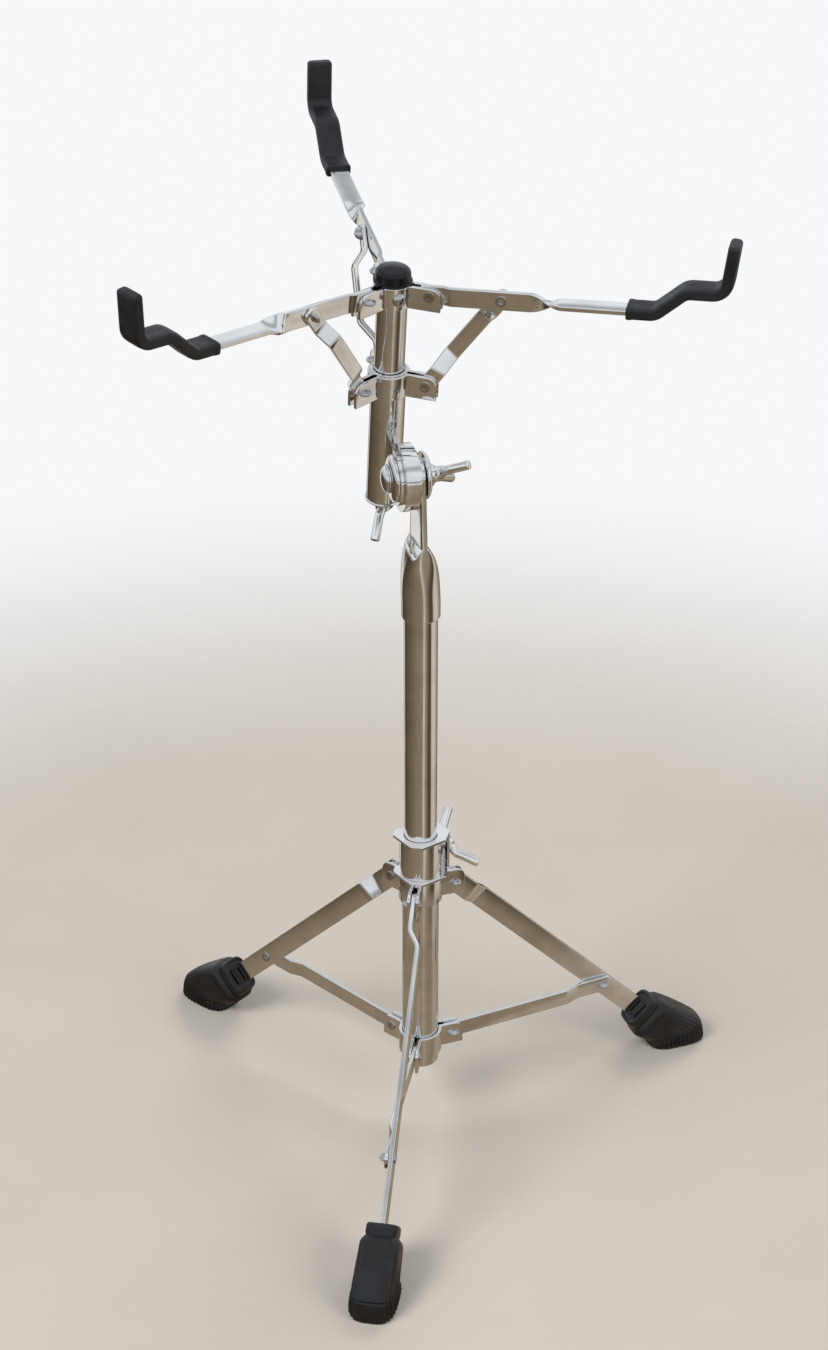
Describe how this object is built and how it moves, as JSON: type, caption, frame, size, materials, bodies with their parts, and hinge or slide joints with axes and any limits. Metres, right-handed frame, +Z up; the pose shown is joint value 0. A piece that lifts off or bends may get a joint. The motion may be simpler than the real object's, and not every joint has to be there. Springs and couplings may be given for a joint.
{
  "type": "snare drum stand",
  "caption": "Chromed folding snare drum stand: flat-bar tripod, telescopic column, disc tilter and an umbrella-action basket with rubber-sleeved arms.",
  "frame": {"origin": "on the floor, under the middle of the stand's box", "axes": "+Z up, the front leg towards -Y"},
  "size_m": [0.4076, 0.419, 0.7046],
  "materials": {
    "chrome_tube": "bright chrome plate on drawn tube",
    "chrome_bar": "bright chrome plate on flat bar",
    "chrome_pressing": "bright chrome plate on pressed steel",
    "chrome_casting": "chrome plate on cast wing screws",
    "rivet_steel": "nickel plated rivets",
    "zinc_steel": "zinc plated steel",
    "foot_rubber": "moulded black rubber",
    "sleeve_rubber": "ribbed black rubber",
    "cap_plastic": "moulded black plastic",
    "bush_nylon": "black nylon"
  },
  "bodies": {
    "column": {"base_tube": "chrome_tube", "leg_hub": "chrome_pressing", "leg_pivot_rivets": "rivet_steel", "height_clamp_bracket": "chrome_pressing", "height_clamp_band": "chrome_pressing"},
    "clamp_bush": {"clamp_bush": "bush_nylon"},
    "height_wing_screw": {"height_wing_screw": "chrome_casting"},
    "mast": {"mast_tube": "chrome_tube", "tilter_stem": "chrome_tube", "stem_ratchet": "chrome_pressing", "nut_dish_washer": "chrome_pressing", "tilter_bolt": "chrome_casting"},
    "tilter_wing_nut": {"tilter_wing_nut": "chrome_casting"},
    "basket": {"basket_outer_tube": "chrome_tube", "strut_collar": "chrome_pressing", "strut_pivot_rivets": "rivet_steel", "tilter_bracket": "chrome_pressing", "bracket_ratchet": "chrome_pressing", "head_dish_washer": "chrome_pressing", "basket_end_plug": "chrome_pressing"},
    "adjuster_screw": {"adjuster_screw": "chrome_casting"},
    "basket_slider": {"basket_inner_tube": "chrome_tube", "arm_hub": "chrome_pressing", "arm_hub_screw": "rivet_steel", "arm_pivot_rivets": "rivet_steel", "top_cap": "cap_plastic", "adjuster_nut": "zinc_steel", "guide_screw": "zinc_steel"},
    "leg_collar": {"leg_collar": "chrome_pressing", "brace_pivot_rivets": "rivet_steel"},
    "leg_front": {"leg_front": "chrome_bar", "foot_front": "foot_rubber", "brace_rivet_tail_front": "rivet_steel"},
    "brace_front": {"brace_front": "chrome_bar", "brace_rivet_head_front": "rivet_steel"},
    "leg_right": {"leg_right": "chrome_bar", "foot_right": "foot_rubber", "brace_rivet_tail_right": "rivet_steel"},
    "brace_right": {"brace_right": "chrome_bar", "brace_rivet_head_right": "rivet_steel"},
    "leg_left": {"leg_left": "chrome_bar", "foot_left": "foot_rubber", "brace_rivet_tail_left": "rivet_steel"},
    "brace_left": {"brace_left": "chrome_bar", "brace_rivet_head_left": "rivet_steel"},
    "arm_right": {"arm_right": "chrome_bar", "arm_sleeve_right": "sleeve_rubber", "strut_rivet_tail_right": "rivet_steel"},
    "strut_right": {"strut_right": "chrome_bar", "strut_rivet_head_right": "rivet_steel"},
    "arm_rear": {"arm_rear": "chrome_bar", "arm_sleeve_rear": "sleeve_rubber", "strut_rivet_tail_rear": "rivet_steel"},
    "strut_rear": {"strut_rear": "chrome_bar", "strut_rivet_head_rear": "rivet_steel"},
    "arm_left": {"arm_left": "chrome_bar", "arm_sleeve_left": "sleeve_rubber", "strut_rivet_tail_left": "rivet_steel"},
    "strut_left": {"strut_left": "chrome_bar", "strut_rivet_head_left": "rivet_steel"}
  },
  "joints": [
    {"name": "mast_swivel", "type": "hinge", "parent": "column", "child": "clamp_bush", "pos_m": [0.0033, 0.0239, 0], "axis": [0, 0, 1], "continuous": true},
    {"name": "mast_height", "type": "slide", "parent": "clamp_bush", "child": "mast", "axis": [0, 0, 1], "range_m": [-0.07, 0.06]},
    {"name": "height_wing_turn", "type": "hinge", "parent": "column", "child": "height_wing_screw", "pos_m": [0.0033, 0.0239, 0.212], "axis": [0.6947, 0.7193, 0], "continuous": true},
    {"name": "tilter_wing_turn", "type": "hinge", "parent": "mast", "child": "tilter_wing_nut", "pos_m": [0.0033, 0.0239, 0.4887], "axis": [0.9007, 0.4344, 0], "continuous": true},
    {"name": "basket_tilt", "type": "hinge", "parent": "mast", "child": "basket", "pos_m": [0.0033, 0.0239, 0.4887], "axis": [0.9007, 0.4344, 0], "range_deg": [-9.9, 50]},
    {"name": "adjuster_turn", "type": "hinge", "parent": "basket", "child": "adjuster_screw", "pos_m": [-0.02387, 0.04732, 0.49444], "axis": [0.0747, -0.1549, 0.9851], "continuous": true},
    {"name": "basket_slide", "type": "slide", "parent": "basket", "child": "basket_slider", "axis": [0.0747, -0.1549, 0.9851], "range_m": [-0.025, 0]},
    {"name": "leg_collar_slide", "type": "slide", "parent": "column", "child": "leg_collar", "axis": [0, 0, 1], "range_m": [0, 0.0786]},
    {"name": "leg_front_fold", "type": "hinge", "parent": "column", "child": "leg_front", "pos_m": [0.0033, -0.0003, 0.1847], "axis": [1, 0, 0], "range_deg": [0, 43.1]},
    {"name": "brace_front_fold", "type": "hinge", "parent": "leg_collar", "child": "brace_front", "pos_m": [0.0033, -0.0001, 0.0569], "axis": [1, 0, 0], "range_deg": [-0.1, 91.01]},
    {"name": "leg_right_fold", "type": "hinge", "parent": "column", "child": "leg_right", "pos_m": [0.02426, 0.036, 0.1847], "axis": [-0.5, 0.866, 0], "range_deg": [0, 43.1]},
    {"name": "brace_right_fold", "type": "hinge", "parent": "leg_collar", "child": "brace_right", "pos_m": [0.02408, 0.0359, 0.0569], "axis": [-0.5, 0.866, 0], "range_deg": [-0.1, 91.01]},
    {"name": "leg_left_fold", "type": "hinge", "parent": "column", "child": "leg_left", "pos_m": [-0.01766, 0.036, 0.1847], "axis": [-0.5, -0.866, 0], "range_deg": [0, 43.1]},
    {"name": "brace_left_fold", "type": "hinge", "parent": "leg_collar", "child": "brace_left", "pos_m": [-0.01749, 0.0359, 0.0569], "axis": [-0.5, -0.866, 0], "range_deg": [-0.1, 91.01]},
    {"name": "arm_right_fold", "type": "hinge", "parent": "basket_slider", "child": "arm_right", "pos_m": [0.00829, 0.02808, 0.6046], "axis": [-0.0797, -0.9856, -0.1489], "range_deg": [-0.1, 61.34]},
    {"name": "strut_right_fold", "type": "hinge", "parent": "basket", "child": "strut_right", "pos_m": [0.00419, 0.03757, 0.54397], "axis": [-0.0797, -0.9856, -0.1489], "range_deg": [-0.1, 21.19]},
    {"name": "arm_rear_fold", "type": "hinge", "parent": "basket_slider", "child": "arm_rear", "pos_m": [-0.02555, 0.0508, 0.61074], "axis": [0.9007, 0.4344, 0], "range_deg": [-0.1, 61.34]},
    {"name": "strut_rear_fold", "type": "hinge", "parent": "basket", "child": "strut_rear", "pos_m": [-0.03036, 0.06077, 0.55024], "axis": [0.9007, 0.4344, 0], "range_deg": [-0.1, 21.19]},
    {"name": "arm_left_fold", "type": "hinge", "parent": "basket_slider", "child": "arm_left", "pos_m": [-0.02884, 0.01017, 0.6046], "axis": [-0.821, 0.5512, 0.1489], "range_deg": [-0.1, 61.34]},
    {"name": "strut_left_fold", "type": "hinge", "parent": "basket", "child": "strut_left", "pos_m": [-0.03372, 0.01929, 0.54397], "axis": [-0.821, 0.5512, 0.1489], "range_deg": [-0.1, 21.19]}
  ],
  "couplings": [
    {"joint": "leg_front_fold", "follows": "leg_collar_slide", "rad_per_m": 9.5482},
    {"joint": "brace_front_fold", "follows": "leg_collar_slide", "rad_per_m": 20.186},
    {"joint": "leg_right_fold", "follows": "leg_collar_slide", "rad_per_m": 9.5482},
    {"joint": "brace_right_fold", "follows": "leg_collar_slide", "rad_per_m": 20.186},
    {"joint": "leg_left_fold", "follows": "leg_collar_slide", "rad_per_m": 9.5482},
    {"joint": "brace_left_fold", "follows": "leg_collar_slide", "rad_per_m": 20.186},
    {"joint": "arm_right_fold", "follows": "basket_slide", "rad_per_m": -42.756},
    {"joint": "strut_right_fold", "follows": "basket_slide", "rad_per_m": -14.723},
    {"joint": "arm_rear_fold", "follows": "basket_slide", "rad_per_m": -42.756},
    {"joint": "strut_rear_fold", "follows": "basket_slide", "rad_per_m": -14.723},
    {"joint": "arm_left_fold", "follows": "basket_slide", "rad_per_m": -42.756},
    {"joint": "strut_left_fold", "follows": "basket_slide", "rad_per_m": -14.723}
  ]
}
